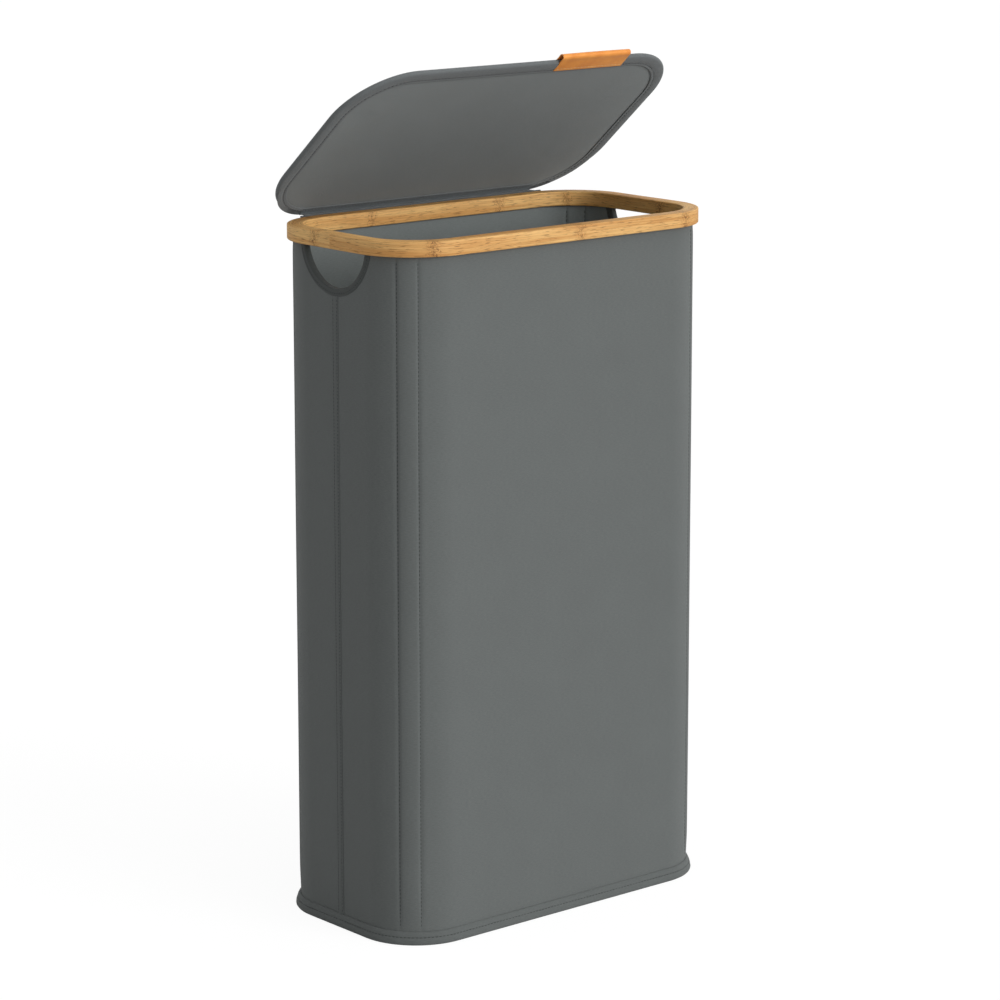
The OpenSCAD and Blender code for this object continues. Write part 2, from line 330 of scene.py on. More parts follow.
def cloth(name, colour, pitch, relief, heather=0.10, uv=True, sheen=0.15, ribs=False):
    """Woven cloth: yarns crossing every pitch mm, mottled yarn colour, painted shade in the hollows
    between the yarns and a soft sheen.
    """
    n = Nodes(name)
    place = n.place(uv)
    x, y, z = n.parts(place)
    if not uv:
        y = n.math("ADD", y, z)
    turns = 2 * math.pi / (pitch * MM)
    warp = n.math("SINE", n.math("MULTIPLY", x, turns))
    weft = n.math("SINE", n.math("MULTIPLY", y, turns))
    weave = warp if ribs else n.math("MULTIPLY", warp, weft)
    slub = n.noise(n.stretch(place, 260, 1500), 1.0, 2.0)
    pile = n.noise(place, 1700, 2.0)
    patch = n.noise(place, 22, 3.0)
    tone = n.math("ADD", n.math("MULTIPLY", slub, 0.45), n.math("MULTIPLY", pile, 0.35))
    tone = n.math("ADD", tone, n.math("MULTIPLY", patch, 0.2))
    dark = tuple(c * (1 - heather) for c in colour[:3]) + (1,)
    pale = tuple(min(1, c * (1 + heather)) for c in colour[:3]) + (1,)
    base = n.mix(n.ramp(tone, 0.34, 0.66), dark, pale)
    # groove is painted shade: the colour darkens where the weave's relief is low, in the hollows between
    # the yarns
    groove = n.ramp(weave, -1.0, 0.2, 1 - heather, 1.0)
    base = n.mix(1.0, base, n.add("ShaderNodeCombineColor",
                 {"Red": groove, "Green": groove, "Blue": groove}).outputs[0], "MULTIPLY")
    normal = n.bump(pile, 0.00012, 0.5)
    normal = n.bump(weave, relief * MM, 0.6, normal)
    rough = n.ramp(patch, 0.3, 0.7, 0.82, 0.92)
    return n.finish(base, rough, normal, Sheen_Weight=sheen, Sheen_Roughness=0.5,
                    Specular_IOR_Level=0.25)


def thread(name, colour):
    """Twisted sewing thread, with painted shade in the twist's hollows and a faint painted highlight on
    its ridges.
    """
    n = Nodes(name)
    place = n.place()
    x, y, _ = n.parts(place)
    twist = n.math("SINE", n.math("MULTIPLY", n.math("ADD", x, y), 2 * math.pi / (0.5 * MM)))
    # painted shade and painted highlight: the twist darkens the colour in its hollows and lifts it a
    # little on its ridges
    painted_twist_shade = n.ramp(twist, -1, 1, 0.82, 1.05)
    grey = n.add("ShaderNodeCombineColor", {"Red": painted_twist_shade, "Green": painted_twist_shade, "Blue": painted_twist_shade}).outputs[0]
    fluff = n.noise(place, 3000, 2.0)
    return n.finish(n.mix(1.0, colour, grey, "MULTIPLY"), n.ramp(fluff, 0.3, 0.7, 0.55, 0.75),
                    n.bump(twist, 0.00005, 0.6), Specular_IOR_Level=0.35)


def bamboo(name, knots, pale, mid, dark):
    """Bent bamboo strip: fibres along it, short dark vessel dashes and a node at each of the knots."""
    n = Nodes(name)
    place = n.place()
    u, v, _ = n.parts(place)
    fibre = n.noise(n.stretch(place, 9, 620), 1.0, 4.0, 0.6)
    fine = n.noise(n.stretch(place, 30, 2600), 1.0, 2.0)
    broad = n.noise(n.stretch(place, 5, 60), 1.0, 3.0)
    dash = n.noise(n.stretch(place, 85, 1500), 1.0, 2.0, 0.45)
    tone = n.math("ADD", n.math("MULTIPLY", fibre, 0.5), n.math("MULTIPLY", broad, 0.5))
    base = n.mix(n.ramp(tone, 0.36, 0.66), mid, pale)
    base = n.mix(n.math("MULTIPLY", n.ramp(fine, 0.48, 0.72), 0.32), base, dark)
    base = n.mix(n.math("MULTIPLY", n.ramp(dash, 0.58, 0.68), 0.7), base, dark)
    drift = n.noise(n.stretch(place, 60, 260), 1.0, 3.0)
    wobble = n.math("MULTIPLY", n.math("SUBTRACT", drift, 0.5), 0.009)
    near = None
    for knot in knots:
        away = n.math("ABSOLUTE", n.math("SUBTRACT", n.math("ADD", u, wobble), knot * MM))
        near = away if near is None else n.math("MINIMUM", near, away)
    zone = n.ramp(near, 0.0030, 0.0090, 1.0, 0.0)
    line = n.ramp(near, 0.0004, 0.0017, 1.0, 0.0)
    curls = n.ramp(n.noise(n.stretch(place, 420, 520), 1.0, 3.0, 0.6, 1.6), 0.52, 0.62)
    base = n.mix(n.math("MULTIPLY", zone, 0.25), base, mid)
    base = n.mix(n.math("MULTIPLY", n.math("MULTIPLY", zone, curls), 0.75), base, dark)
    base = n.mix(n.math("MULTIPLY", line, 0.22), base, dark)
    normal = n.bump(fibre, 0.0002, 0.35)
    normal = n.bump(n.math("SUBTRACT", 1.0, dash), 0.00012, 0.25, normal)
    return n.finish(base, n.ramp(fibre, 0.3, 0.7, 0.5, 0.64), normal, Coat_Weight=0.03,
                    Coat_Roughness=0.4, Specular_IOR_Level=0.22)


def leather(name, pale, dark):
    """Smooth tan leather-look sheet with a fine pebbled grain."""
    n = Nodes(name)
    place = n.place()
    grain = n.add("ShaderNodeTexVoronoi", {"Vector": place, "Scale": 1500.0}).outputs["Distance"]
    cloudy = n.noise(place, 60, 4.0)
    speck = n.noise(place, 1800, 2.0)
    tone = n.math("ADD", n.math("MULTIPLY", cloudy, 0.6), n.math("MULTIPLY", speck, 0.4))
    base = n.mix(n.ramp(tone, 0.36, 0.66), dark, pale)
    normal = n.bump(grain, 0.00015, 0.35)
    return n.finish(base, n.ramp(cloudy, 0.3, 0.7, 0.36, 0.5), normal, Coat_Weight=0.05,
                    Coat_Roughness=0.35, Specular_IOR_Level=0.3)


def board(name, colour):
    """Pressed fibre board, for the stiffeners inside the wall and lid."""
    n = Nodes(name)
    place = n.place(uv=False)
    fibre = n.noise(n.stretch(place, 300, 300, 90), 1.0, 4.0, 0.7)
    fleck = n.noise(place, 900, 2.0)
    base = n.mix(n.ramp(fibre, 0.35, 0.65), tuple(c * 0.8 for c in colour[:3]) + (1,), colour)
    return n.finish(base, n.ramp(fleck, 0.3, 0.7, 0.75, 0.9), n.bump(fibre, 0.0002, 0.5))


def drawn_steel(name):
    """Drawn steel wire with fine lengthwise lines."""
    n = Nodes(name)
    place = n.place(uv=False)
    lines = n.noise(n.stretch(place, 2500, 2500, 25), 1.0, 3.0)
    base = n.mix(n.ramp(lines, 0.3, 0.7), (0.42, 0.42, 0.43, 1), (0.62, 0.62, 0.63, 1))
    return n.finish(base, n.ramp(lines, 0.3, 0.7, 0.25, 0.4), n.bump(lines, 0.00005, 0.4),
                    Metallic=1.0)


GREY = cloth("grey canvas", srgb(101, 105, 104), 0.9, 0.10)
LINING = cloth("lining cloth", srgb(124, 130, 129), 0.6, 0.06)
LID_LINING = cloth("lid lining cloth", srgb(123, 128, 128), 0.7, 0.06)
LID_GREY = cloth("lid canvas", srgb(107, 111, 112), 0.9, 0.10)
BINDING = cloth("ribbed binding tape", srgb(74, 78, 77), 1.6, 0.22, ribs=True)
FLAP = cloth("hinge cloth", srgb(88, 94, 96), 0.8, 0.08)
SEAM = cloth("seam cloth", srgb(96, 100, 99), 0.9, 0.10)
DARK_THREAD = thread("dark thread", srgb(52, 55, 55))
BLACK_THREAD = thread("hinge thread", srgb(40, 42, 44))
CREAM_THREAD = thread("cream thread", srgb(238, 216, 172))
OUTER_KNOTS = (112, 284, 418, 568, 700, 838, 960, 1059)
INNER_KNOTS = (96, 236, 372, 512, 640, 729, 889, 1020)
BAMBOO_OUT = bamboo("bamboo outside", OUTER_KNOTS, srgb(240, 196, 128), srgb(202, 144, 80),
                    srgb(96, 56, 28))
BAMBOO_IN = bamboo("bamboo inside", INNER_KNOTS, srgb(246, 202, 132), srgb(214, 156, 88),
                   srgb(96, 56, 28))
TAN = leather("tan leather look", srgb(246, 164, 78), srgb(228, 140, 58))
BOARD = board("fibre board", srgb(120, 112, 100))
STEEL = drawn_steel("drawn steel")


# ---------------------------------------------------------------- wall


VALLEY_W = 1.5  # half width of the dip along a pocket's stitches
SWELL, SWELL_AT, SWELL_W = 0.18, 4.5, 2.5  # the cloth's slight rise beyond them
CUT_END = 43.0  # where the hand hole's cut runs into the rim, from the side's middle


def pocket(s, bulge, valley):
    """How far a cloth layer stands out at the stitched rod pockets in the corners."""
    out = np.zeros_like(s, float)
    for mid in CORNERS:
        d = np.abs(s - mid)
        out += bulge * np.sqrt(np.clip(1 - (d / POCKET) ** 2, 0, None))
        out -= valley * np.exp(-(((d - POCKET) / VALLEY_W) ** 2))
        out += SWELL * np.exp(-(((d - POCKET - SWELL_AT) / SWELL_W) ** 2))
    return out


EVEN_TOP = 600.0  # rows of the wall's grid are even up to here, under the hand holes


def wall_heights(points, bottom, hole):
    """Rows of heights for each column: even rows below the hand holes, fitted rows above."""
    low = np.arange(bottom, EVEN_TOP, 7.5)
    y = np.abs(points[:, 1])
    cut = HOLE_Z - np.sqrt(np.clip(hole**2 - y**2, 0, None))
    on_end = np.abs(points[:, 0]) > CORE_X
    top = np.where(on_end & (y < hole), np.minimum(cut, WALL_TOP), WALL_TOP)
    t = np.linspace(0, 1, 13)
    high = EVEN_TOP + (top[:, None] - EVEN_TOP) * t[None, :]
    return np.concatenate([np.repeat(low[None, :], len(y), 0), high], 1)


def wall_layer(name, start, end, r_out, r_in, bottom, hole, bulge, valley, sign, material, seed):
    """Half of a cloth layer. sign is 1 when its shown face looks out, and -1 when it looks in."""
    spots = [c + d for c in CORNERS for d in (-POCKET, 0, POCKET)]
    spots += [CUT_END, HALF - CUT_END, HALF + CUT_END, ROUND - CUT_END]
    s = stations(start, end, 5.0, 0.9, spots, 5.4)
    base, _ = ring(s, BODY_R)
    z = wall_heights(base, bottom, hole)
    fade = np.clip((z - 14) / 22, 0, 1) * np.clip((656 - z) / 14, 0, 1)
    uneven = 0.16 * (1 + waves(s[:, None], z * 0.6, 150, seed)) * np.clip((z - 14) / 40, 0, 1)
    uneven = uneven * np.clip((652 - z) / 30, 0, 1)
    out = pocket(s, bulge, valley)[:, None] * (0.15 + 0.85 * fade) + uneven
    pucker = 0.06 * np.sin(2 * math.pi * z / 3.8)
    near = sum(np.exp(-(((np.abs(s - c) - POCKET) / 2.2) ** 2)) for c in CORNERS)
    out = out + pucker * near[:, None] * fade
    layers = []
    for r in (r_out, r_in):
        p, _ = ring(np.broadcast_to(s[:, None], z.shape), r + sign * out)
        layers.append(np.concatenate([p, z[..., None]], -1))
    surface = Surface()
    surface.skin(layers[0], layers[1], across(s[:, None], z))
    return surface.build(name, [material], "hamper")


# how far each layer bulges at a pocket and sinks at its stitches
CLOTH_PUFF, LINING_PUFF = (0.95, 0.5), (0.7, 0.6)
cloth_front = wall_layer("cloth_front", 0, HALF, BODY_R, BODY_R - CLOTH_T, CLOTH_FOOT, HOLE_CUT_R,
                         *CLOTH_PUFF, 1, GREY, 11)
cloth_rear = wall_layer("cloth_rear", HALF, ROUND, BODY_R, BODY_R - CLOTH_T, CLOTH_FOOT, HOLE_CUT_R,
                        *CLOTH_PUFF, 1, GREY, 12)
inside_front = wall_layer("inside_front", 0, HALF, LINING_OUT_R, LINING_IN_R, LINING_FOOT, HOLE_CUT_R,
                          *LINING_PUFF, -1, LINING, 13)
inside_rear = wall_layer("inside_rear", HALF, ROUND, LINING_OUT_R, LINING_IN_R, LINING_FOOT, HOLE_CUT_R,
                         *LINING_PUFF, -1, LINING, 14)


def upright(s, r, low, high, step=2.0):
    """A vertical run and its outward normals, for a row of stitches."""
    z = np.arange(low, high, step)
    p, normal = ring(np.full(len(z), s), np.full(len(z), r))
    return (np.concatenate([p, z[:, None]], 1),
            np.concatenate([normal, np.zeros((len(z), 1))], 1))


def inward(run):
    return run[0], -run[1]


pocket_rows = [upright(c + d, BODY_R - 0.25, 15, 651) for c in CORNERS for d in (-POCKET, POCKET)]
stitches("pocket_stitches", pocket_rows, DARK_THREAD, "hamper")
inner_rows = [inward(upright(c + d, LINING_IN_R - 0.1, 8, 651))
              for c in CORNERS for d in (-POCKET, POCKET)]
stitches("inner_pocket_stitches", inner_rows, DARK_THREAD, "hamper", pitch=4.4, length=3.2)


# ---------------------------------------------------------------- side seams and hand holes


def side_x(y, r):
    """Distance from the middle of a side wall's face whose corner radius is r, at distance y."""
    over = np.clip(np.abs(y) - CORE_Y, 0, None)
    return CORE_X + np.sqrt(np.clip(r**2 - over**2, 0, None))


def side_seam(name, sx):
    """Felled seam over the join of the front and rear panels, with two sunk rows of stitches."""
    y = np.array([-4.5, -4.35, -4.0, -3.4, -2.75, -2.1, -1.2, 0, 1.2, 2.1, 2.75, 3.4, 4.0, 4.35, 4.5])
    rise = np.array([0.02, 0.3, 0.5, 0.58, 0.34, 0.56, 0.64, 0.6, 0.64, 0.56, 0.34, 0.58, 0.5, 0.3, 0.02])
    t = np.linspace(0, 1, 150)
    top = HOLE_Z - np.sqrt(BINDING_R**2 - y**2) + 0.3
    z = BAND_TOP + (top[:, None] - BAND_TOP) * t
    uneven = 0.1 * waves(y[:, None] * 2, z, 40, 31)
    high = rise[:, None] * (1 + uneven)
    yy = np.broadcast_to(y[:, None], z.shape)
    outside = np.stack([sx * (CORE_X + BODY_R + 0.3 + high), yy, z], -1)
    inside = np.stack([np.full(z.shape, sx * (CORE_X + BODY_R - 0.05)), yy, z], -1)
    surface = Surface()
    surface.skin(outside, inside, across(yy, z))
    made = surface.build(name, [SEAM], "hamper")
    rows = []
    for at in (-2.75, 2.75):
        zz = np.arange(BAND_TOP + 1.5, HOLE_Z - BINDING_R - 1, 2.0)
        p = np.stack([np.full(len(zz), sx * (CORE_X + BODY_R + 0.58)), np.full(len(zz), at), zz], 1)
        rows.append((p, np.tile([sx, 0.0, 0.0], (len(zz), 1))))
    return made, stitches(name + "_stitches", rows, DARK_THREAD, "hamper", pitch=3.4, length=2.5)


left_seam, left_seam_stitches = side_seam("left_felled_seam", -1)
right_seam, right_seam_stitches = side_seam("right_felled_seam", 1)

# binding tape in section: (radius from the hand hole's centre, depth behind the outer cloth's face)
TAPE = [(53.0, 0.25), (52.9, -0.25), (52.3, -0.62), (51.2, -0.72), (50.2, -0.62), (49.4, -0.72),
        (47.6, -0.82), (46.4, -0.75), (45.75, -0.35), (45.5, 0.5), (45.45, 2.5), (45.5, 4.5),
        (45.75, 5.35), (46.4, 5.75), (47.6, 5.82), (49.4, 5.72), (51.2, 5.72), (52.3, 5.62),
        (52.9, 5.3), (53.0, 4.95), (46.1, 4.95), (46.1, 0.25)]
TAPE_MID_R = 49.0
TAPE_ROWS = ((50.2, -0.62, 1), (50.2, 5.72, -1))  # stitches: radius, depth, and 1 outside or -1 inside


def hole_tape(name, sx):
    """Tape folded over the cut edge of the wall, from the rim round the hand hole to the rim."""
    section = np.array(TAPE)
    t = np.linspace(0, 1, 110)
    rho, deep = section[:, 0][None, :], section[:, 1][None, :]
    low = np.arcsin((HOLE_Z - RIM_BOTTOM - 0.4) / rho)
    angle = low + (math.pi - 2 * low) * t[:, None]
    puffed = np.where((deep < 0) | (deep > 5.4), 1.0, 0.0)
    deep = deep - np.sign(2.5 - deep) * puffed * 0.08 * waves(angle * 50, rho, 9, 5)
    y, z = rho * np.cos(angle), HOLE_Z - rho * np.sin(angle)
    x = sx * side_x(y, BODY_R - deep)
    surface = Surface()
    uv = across((t * math.pi * TAPE_MID_R)[:, None], section_run(section)[None, :])
    surface.grid(np.stack([x, y, z], -1), uv, wrap_j=True)
    for end in (0, -1):
        points = np.stack([x[end], y[end], z[end]], -1)
        half = len(TAPE) // 2
        near, far = points[:half], points[half:][::-1]
        surface.grid(np.stack([near, far]), np.stack([uv[end][:half], uv[end][half:-1][::-1]]))
    made = surface.build(name, [BINDING], "hamper")
    rows = []
    for radius, depth, side in TAPE_ROWS:
        a = np.linspace(math.asin(12 / radius), math.pi - math.asin(12 / radius), 90)
        yy, zz = radius * np.cos(a), HOLE_Z - radius * np.sin(a)
        p = np.stack([sx * side_x(yy, BODY_R - depth), yy, zz], 1)
        rows.append((p, np.tile([sx * side, 0.0, 0.0], (len(a), 1))))
    return made, stitches(name + "_stitches", rows, DARK_THREAD, "hamper", pitch=3.4, length=2.5)


left_tape, left_tape_stitches = hole_tape("left_hole_tape", -1)
right_tape, right_tape_stitches = hole_tape("right_hole_tape", 1)


# ---------------------------------------------------------------- rings: rim and foot band


def swept(name, section, materials, slots, shape=None):
    """A closed section of (radius, height) swept all the way round."""
    s = stations(0, ROUND, 4.0, 2.0, CORNERS, 46)[:-1]
    section = np.asarray(section, float)
    r = np.broadcast_to(section[:, 0][None, :], (len(s), len(section)))
    z = np.broadcast_to(section[:, 1][None, :], r.shape)
    if shape:
        dr, dz = shape(s[:, None], r, z)
        r, z = r + dr, z + dz
    p, _ = ring(np.broadcast_to(s[:, None], r.shape), r)
    points = np.concatenate([p, z[..., None]], -1)
    uv = across(np.append(s, ROUND)[:, None], section_run(section)[None, :])
    surface = Surface()
    for k in range(len(section)):
        pair = [k, (k + 1) % len(section)]
        surface.grid(points[:, pair], uv[:, [k, k + 1]], wrap_i=True, slot=slots[k])
    return surface.build(name, materials, "hamper", sharp=50)


def corner_arc(r, z, radius, start, end, steps=4):
    turn = np.radians(np.linspace(start, end, steps + 1))
    return [(r + radius * math.cos(a), z + radius * math.sin(a)) for a in turn]


IN_R = RIM_R - RIM_T
rim_section = (
    corner_arc(RIM_R - RIM_EDGE, RIM_BOTTOM + RIM_EDGE, RIM_EDGE, -90, 0)
    + [(RIM_R, RIM_BOTTOM + 4.8), (RIM_R, RIM_TOP - 4.8)]
    + corner_arc(RIM_R - RIM_EDGE, RIM_TOP - RIM_EDGE, RIM_EDGE, 0, 90)
    + [(RIM_R - 5, RIM_TOP), (IN_R + 5, RIM_TOP)]
    + corner_arc(IN_R + RIM_EDGE, RIM_TOP - RIM_EDGE, RIM_EDGE, 90, 180)
    + [(IN_R, RIM_TOP - 4.8), (IN_R, RIM_BOTTOM + 4.8)]
    + corner_arc(IN_R + RIM_EDGE, RIM_BOTTOM + RIM_EDGE, RIM_EDGE, 180, 270)
    + [(LINING_IN_R - 0.05, RIM_BOTTOM), (LINING_IN_R - 0.05, WALL_TOP + 0.1),
       (BODY_R + 0.05, WALL_TOP + 0.1), (BODY_R + 0.05, RIM_BOTTOM)]
)
# the inside face, from halfway round its upper edge to its lower edge, shows other nodes of the strip
INSIDE_FIRST, INSIDE_COUNT = 16, 9
rim_slots = [int(0 <= k - INSIDE_FIRST < INSIDE_COUNT) for k in range(len(rim_section))]


def knuckled(s, r, z):
    """The strip swells a little at its nodes and is never quite even."""
    outside = np.exp(-((np.array([s - k for k in OUTER_KNOTS]) / 5) ** 2)).sum(0)
    inside = np.exp(-((np.array([s - k for k in INNER_KNOTS]) / 5) ** 2)).sum(0)
    shift = np.where(r > RIM_R - 0.5, 0.35 * outside, 0) - np.where(r < IN_R + 0.5, 0.35 * inside, 0)
    top = np.where(z > RIM_TOP - 0.5, 0.1 * waves(s, r, 90, 3) - 0.1, 0)
    return shift, top


bamboo_ring = swept("bamboo_ring", rim_section, [BAMBOO_OUT, BAMBOO_IN], rim_slots, knuckled)

BAND_STITCH_R, BAND_STITCH_Z = 61.45, 7.5
band_section = [(58.0, 11.9), (58.5, 12.45), (59.1, 12.35), (59.8, 11.6), (60.6, 10.2), (61.3, 8.8),
                (61.45, 7.9), (61.35, 7.5), (61.6, 7.1), (62.3, 5.8), (62.8, 4.2), (62.95, 2.6),
                (62.8, 1.3), (62.3, 0.5), (61.6, 0.12), (60.5, 0.02), (58.0, 0.02)]


def padded_band(s, r, z):
    soft = np.clip((r - 58.4) / 2, 0, 1) * np.clip(z / 2, 0, 1)
    return soft * (0.22 * waves(s, z * 3, 16, 8) + 0.15 * waves(s, z, 60, 9)), 0 * z


foot_band = swept("foot_band", band_section, [SEAM], [0] * len(band_section), padded_band)
around_foot, foot_normal = ring(np.linspace(0, ROUND, 700), np.full(700, BAND_STITCH_R))
band_run = (np.column_stack([around_foot, np.full(700, BAND_STITCH_Z)]),
            np.column_stack([foot_normal, np.full(700, 0.25)]))
stitches("foot_band_stitches", [band_run], DARK_THREAD, "hamper")


# ---------------------------------------------------------------- flat plates


def outline(core_x, low, high, r, steps):
    """Rounded rectangle round corner centres at x ±core_x and v low and high."""
    long, side, corner = steps
    fx, fy, angle = [], [], []
    runs = [
        (np.ones(side), np.arange(side) / side, 0, None),
        (np.ones(corner), np.ones(corner), 0, 90),
        (1 - 2 * np.arange(long) / long, np.ones(long), 90, None),
        (-np.ones(corner), np.ones(corner), 90, 180),
        (-np.ones(side), 1 - np.arange(side) / side, 180, None),
        (-np.ones(corner), np.zeros(corner), 180, 270),
        (-1 + 2 * np.arange(long) / long, np.zeros(long), 270, None),
        (np.ones(corner), np.zeros(corner), 270, 360),
    ]
    for across_x, across_y, start, end in runs:
        count = len(across_x)
        fx.append(across_x)
        fy.append(across_y)
        angle.append(np.full(count, start) if end is None
                     else start + (end - start) * np.arange(count) / count)
    fx, fy = np.concatenate(fx), np.concatenate(fy)
    angle = np.radians(np.concatenate(angle))
    x = fx * core_x + r * np.cos(angle)
    v = low + fy * (high - low) + r * np.sin(angle)
    return x, v


def plate(name, chain, steps, place, shift, material, body):
    """A closed plate. chain is its section from the middle of one face round the edge to the middle
    of the other: (core_x, low, high, r, w). place turns (x, v, w) into points."""
    rows, flat, run = [], [], 0.0
    for k, (core_x, low, high, r, w) in enumerate(chain):
        if k:
            run += math.hypot(r - chain[k - 1][3], w - chain[k - 1][4])
        x, v = outline(core_x, low, high, r, steps)
        rows.append(place(x, v, w + shift(x, v, r, w)))
        flat.append(np.stack(outline(*chain[0][:3], run, steps), -1))
    points, uv = np.stack(rows, 1), np.stack(flat, 1)
    surface = Surface()
    surface.grid(points, np.concatenate([uv, uv[:1]]), wrap_i=True)
    for end in (0, -1):
        core_x, low, high, r, w = chain[end]
        x = np.linspace(-1, 1, steps[0] + 1)[:, None] * core_x
        v = low + np.linspace(0, 1, steps[1] + 1)[None, :] * (high - low)
        x, v = np.broadcast_arrays(x, v)
        surface.grid(place(x, v, w + shift(x, v, np.zeros_like(x), w)), np.stack([x, v], -1))
    return surface.build(name, [material], body)


def upright_place(x, v, w):
    x, v, w = np.broadcast_arrays(x, v, w)
    return np.stack([x, v, w], -1)


def flat_plate(name, r, low_z, high_z, steps, rise, material):
    def chain_at(*pairs):
        return [(CORE_X, -CORE_Y, CORE_Y, radius, z) for radius, z in pairs]

    edge = min(0.3, (high_z - low_z) / 3)
    chain = chain_at((0, high_z), (r * 0.35, high_z), (r * 0.7, high_z), (r - 4, high_z),
                     (r - edge, high_z), (r, high_z - edge), (r, low_z + edge), (r - edge, low_z),
                     (r * 0.5, low_z), (0, low_z))
    return plate(name, chain, steps, upright_place, rise, material, "hamper")


under_cloth = flat_plate("under_cloth", BODY_R - 0.05, 0.0, 1.0, (40, 14, 12),
                         lambda x, v, r, w: 0 * x, GREY)


def settled(x, v, r, w):
    inner = np.clip((LINING_IN_R - 3 - r) / 12, 0, 1)
    return (w > 4.5) * inner * 0.3 * (1 + waves(x, v, 60, 21))


floor_lining = flat_plate("floor_lining", LINING_IN_R - 0.15, 4.02, 4.8, (40, 14, 12), settled, LINING)


# ---------------------------------------------------------------- lid

LID_STEPS = (66, 24, 22)


def lid_core(r, w):
    return LID_CORE_X, LID_CORE_LOW, LID_CORE_HIGH, r, w


def window_core(r, w):
    return LID_CORE_X, WINDOW_LOW, LID_CORE_HIGH, r, w


edge_mid = LID_R - LID_EDGE_R
cover_chain = [lid_core(r, LID_T) for r in (0, 12, 24, 36, 46, 54, 60)]
cover_chain += [lid_core(edge_mid + LID_EDGE_R * math.cos(a), LID_EDGE_R + LID_EDGE_R * math.sin(a))
                for a in np.radians(np.linspace(90, -90, 11))]
cover_chain += [window_core(r, 0.0) for r in (62.0, 59.5, 57.2, 56.2, 55.4, 54.2, 53.0)]
cover_chain += [window_core(52.35, 0.12), window_core(52.05, 0.45), window_core(52.0, 1.0),
                window_core(60.0, 1.0), lid_core(64.3, 1.0), lid_core(64.3, 4.0),
                lid_core(45, 4.0), lid_core(0, 4.0)]


def cover_shift(x, v, r, w):
    """Padding and small ripples in the lid's cover; none where it closes on the hinge strip."""
    clear = np.clip((v - 14) / 10, 0, 1)
    r = np.zeros_like(x) + r
    under = np.abs(w) < 0.2
    top = w > 4.9
    hem = np.exp(-(((r - 60.6) / 3.0) ** 2)) * 0.35 - np.exp(-(((r - 55.8) / 0.9) ** 2)) * 0.3
    ripple = 0.14 * waves(x, v, 11, 41) + 0.10 * waves(x, v, 45, 42)
    lower = np.where(under & (r > 52.6), -(hem + np.clip(r - 53, 0, 1) * ripple * (r < 64)) * clear, 0)
    middle = np.clip((64 - r) / 30, 0, 1)
    upper = np.where(top, 0.35 * middle + 0.15 * waves(x, v, 120, 43) * np.clip((62 - r) / 6, 0, 1), 0)
    return lower + upper


lid_cloth = plate("lid_cloth", cover_chain, LID_STEPS, lid_point, cover_shift, LID_GREY, "lid")

lining_chain = [window_core(r, 1.58) for r in (0, 25, 45)]
lining_chain += [window_core(54.4, 1.58), window_core(54.6, 1.4), window_core(54.6, 1.2),
                 window_core(54.4, 1.02)]
lining_chain += [window_core(r, 1.0) for r in (52.6, 51, 49, 46, 41, 34, 24, 12, 0)]


def lining_shift(x, v, r, w):
    r = np.zeros_like(x) + r
    inner = np.clip((51.0 - r) / 4, 0, 1)
    clear = np.clip((v - 10) / 10, 0, 1)
    return (w < 1.1) * inner * clear * (-0.12 + 0.12 * waves(x, v, 130, 51))


lid_panel = plate("lid_panel", lining_chain, LID_STEPS, lid_point, lining_shift, LID_LINING, "lid")

x_row, v_row = outline(LID_CORE_X, WINDOW_LOW, LID_CORE_HIGH, 55.7, (150, 60, 50))
x_row, v_row = np.append(x_row, x_row[0]), np.append(v_row, v_row[0])
down = lid_point(0, 0, -1.0) - lid_point(0, 0, 0.0)
row = lid_point(x_row, v_row, np.where(v_row > 20, 0.28, 0.02))
# the row starts and ends beside the hinge flap
at_hinge = (v_row < 9) & (np.abs(x_row) < 146)
order = np.arange(len(x_row) - 1)
order = np.roll(order, -(int(np.flatnonzero(at_hinge)[-1]) + 1))
order = order[~at_hinge[order]]
hem_stitches = stitches("lid_hem_stitches", [(row[order], np.tile(down, (len(order), 1)))],
                        DARK_THREAD, "lid", pitch=4.0, length=2.7, radius=0.36)


# ---------------------------------------------------------------- fabric hinge


def along_x(name, section_at, xs, place, material, body):
    """A closed section swept along x; section_at(x) gives its (v, w) or (y, z) points."""
    sections = np.stack([section_at(x) for x in xs])
    points = place(np.broadcast_to(xs[:, None], sections.shape[:2]), sections[..., 0], sections[..., 1])
    uv = across(xs[:, None], section_run(sections[0])[None, :])
    surface = Surface()
    surface.grid(points, uv, wrap_j=True)
    half = sections.shape[1] // 2
    for end in (0, -1):
        upper = np.arange(sections.shape[1] - half)
        upper = np.minimum(upper, half - 1)
        back = np.arange(sections.shape[1] - 1, half - 1, -1)
        surface.grid(np.stack([points[end][upper], points[end][back]]),
                     np.stack([uv[end][upper], uv[end][back]]))
    return surface.build(name, [material], body)


FLAP_HALF_W, STRIP_HALF_W = 144.0, 150.0
LEDGE_Y, STRIP_Y = 117.5, 109.9  # how far back the ledge and the strip beside it reach


def strip_section(x):
    """Strip on the rim's back face; its ledge reaches back to the hinge line between the flap's ends."""
    reach = LEDGE_Y if abs(x) <= FLAP_HALF_W else STRIP_Y
    soft = 0.05 * math.sin(x * 0.7)
    front = [(107.55, 652.6), (107.55, 656), (107.55, 660), (107.55, 664), (107.55, 667.1),
             (107.8, 667.36), (109.2, 667.38), (min(reach, 114.0), 667.36), (reach - 0.2, 667.35)]
    back = [(reach, 667.2), (reach, 666.85), (min(reach, 114.0), 666.65), (110.0, 666.6),
            (110.0 + soft, 664), (110.05, 660), (110.0 + soft, 656), (109.9, 652.9), (109.5, 652.55)]
    return np.array(front + back)


ledge_end, strip_end = FLAP_HALF_W + 0.01, STRIP_HALF_W - 0.4
xs = np.concatenate([np.linspace(-STRIP_HALF_W, STRIP_HALF_W, 121),
                     [-ledge_end, ledge_end, -strip_end, strip_end]])
xs = np.sort(xs)
hinge_band = along_x("hinge_band", strip_section, xs, upright_place, FLAP, "hamper")

ROLL_R = 1.2


